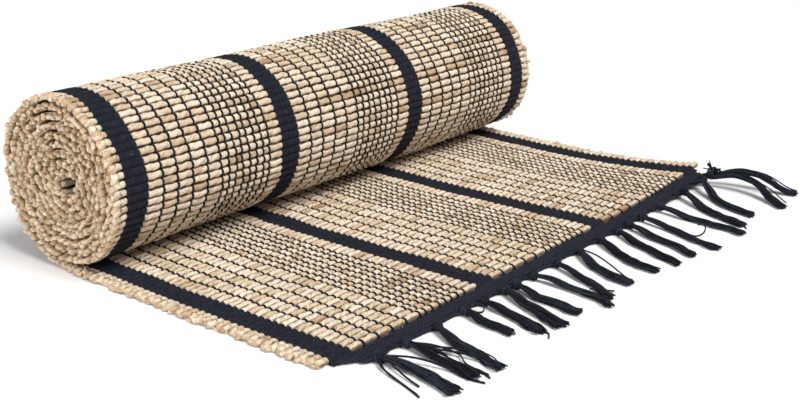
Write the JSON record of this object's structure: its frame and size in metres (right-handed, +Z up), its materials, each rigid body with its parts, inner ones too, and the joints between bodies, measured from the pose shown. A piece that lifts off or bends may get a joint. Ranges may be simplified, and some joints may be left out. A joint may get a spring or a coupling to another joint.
{
  "type": "runner rug",
  "caption": "Runner rug of thick cream fibre cords with dark warp lines and stripes, partly rolled up, with a knotted fringe at its open end.",
  "frame": {"origin": "on the floor, below the middle of the whole object's box", "axes": "+X along the roll, across the rug; -Y from the roll towards the open fringe; +Z up"},
  "size_m": [0.7, 0.5604, 0.1772],
  "materials": {
    "fibre_cord": "soft twisted plant-fibre cord, matt with a faint straw sheen",
    "stripe_yarn": "dense matt cotton yarn, ribbed over the cords",
    "warp_yarn": "thin matt cotton yarn",
    "end_band": "plain woven matt cotton band",
    "fringe_yarn": "loose matt cotton yarn ends"
  },
  "bodies": {
    "root": {"inner_end_band": "end_band", "inner_fringe": "fringe_yarn", "outer_end_band": "end_band", "outer_fringe_knots": "fringe_yarn", "panel_1_close_warps_flat": "warp_yarn", "panel_1_close_warps_roll": "warp_yarn", "panel_1_wide_warps_flat": "warp_yarn", "panel_1_wide_warps_roll": "warp_yarn", "panel_2_close_warps_flat": "warp_yarn", "panel_2_close_warps_roll": "warp_yarn", "panel_2_wide_warps_flat": "warp_yarn", "panel_2_wide_warps_roll": "warp_yarn", "panel_3_close_warps_flat": "warp_yarn", "panel_3_close_warps_roll": "warp_yarn", "panel_3_wide_warps_flat": "warp_yarn", "panel_3_wide_warps_roll": "warp_yarn", "stripe_1_flat": "stripe_yarn", "stripe_1_roll": "stripe_yarn", "stripe_2_flat": "stripe_yarn", "stripe_2_roll": "stripe_yarn", "stripe_3_flat": "stripe_yarn", "stripe_3_roll": "stripe_yarn", "stripe_4_flat": "stripe_yarn", "stripe_4_roll": "stripe_yarn", "tassel_01": "fringe_yarn", "tassel_02": "fringe_yarn", "tassel_03": "fringe_yarn", "tassel_04": "fringe_yarn", "tassel_05": "fringe_yarn", "tassel_06": "fringe_yarn", "tassel_07": "fringe_yarn", "tassel_08": "fringe_yarn", "tassel_09": "fringe_yarn", "tassel_10": "fringe_yarn", "tassel_11": "fringe_yarn", "tassel_12": "fringe_yarn", "tassel_13": "fringe_yarn", "tassel_14": "fringe_yarn", "tassel_15": "fringe_yarn", "tassel_16": "fringe_yarn", "tassel_17": "fringe_yarn", "tassel_18": "fringe_yarn", "tassel_19": "fringe_yarn", "weft_cords_flat": "fibre_cord", "weft_cords_turn_1": "fibre_cord", "weft_cords_turn_2": "fibre_cord", "weft_cords_turn_3": "fibre_cord", "weft_cords_turn_4": "fibre_cord", "weft_cords_turn_5": "fibre_cord", "weft_cords_turn_6": "fibre_cord", "weft_cords_turn_7": "fibre_cord", "weft_cords_turn_8": "fibre_cord", "weft_cords_turn_9": "fibre_cord"}
  },
  "joints": []
}
